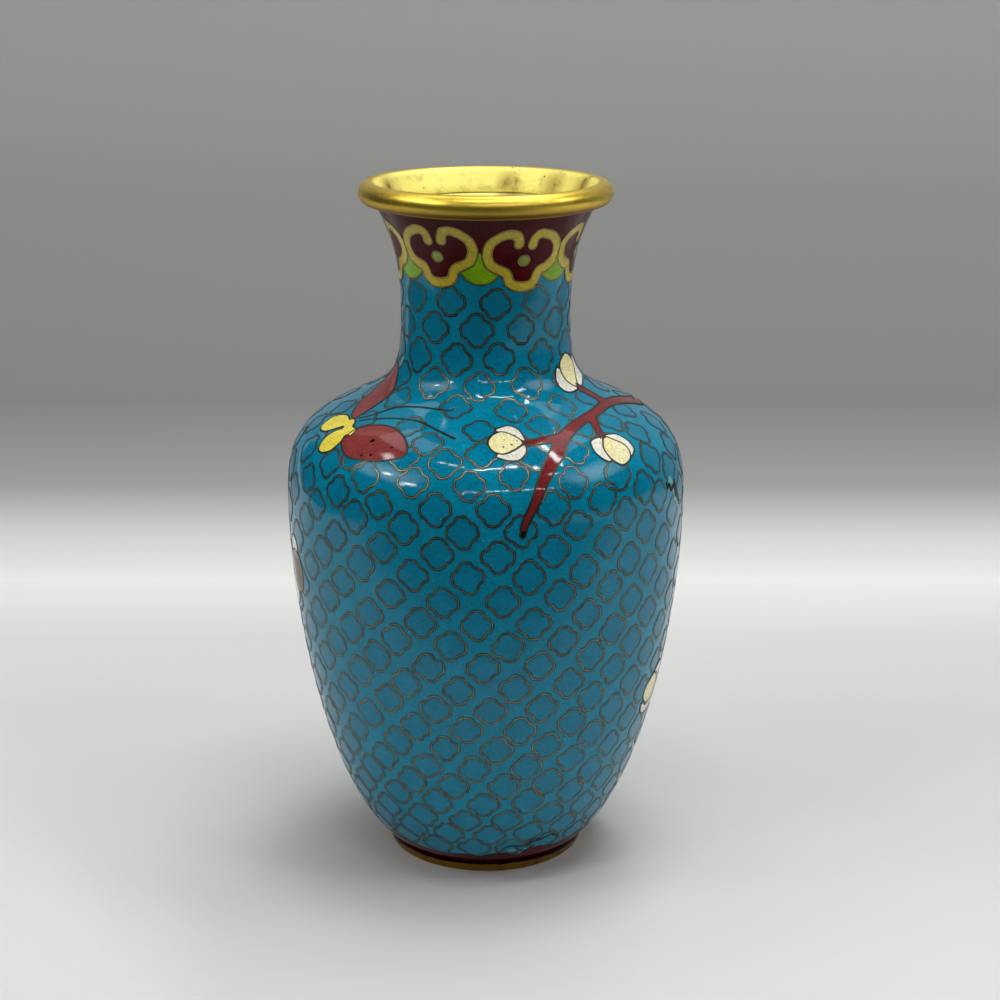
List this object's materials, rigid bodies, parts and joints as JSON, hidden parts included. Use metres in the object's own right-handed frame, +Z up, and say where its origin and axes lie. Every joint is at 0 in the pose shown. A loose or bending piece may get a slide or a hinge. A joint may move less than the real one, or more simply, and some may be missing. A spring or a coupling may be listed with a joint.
{
  "type": "miniature cloisonne vase",
  "caption": "Small shouldered enamel vase with a flared neck, a round gilt mouth rim and a gilt foot ring, hollow and open at the top.",
  "frame": {"origin": "middle of the circle that the foot ring stands on, at the bottom of the object's box", "axes": "+Z is up along the axis of turning; -Y is the side that the picture shows"},
  "size_m": [0.058, 0.058, 0.1],
  "materials": {
    "gilt_copper": "spun copper, gilt inside, lightly stained",
    "enamel": "opaque glass enamel ground flush with its wires and polished",
    "counter_enamel": "plain fired enamel",
    "gilt_rim": "polished gilding, rubbed and slightly pitted",
    "gilt_foot": "gilding, duller and worn"
  },
  "bodies": {
    "root": {"copper_body": "gilt_copper", "enamel_coat": "enamel", "base_enamel": "counter_enamel", "mouth_rim": "gilt_rim", "foot_ring": "gilt_foot"}
  },
  "joints": []
}
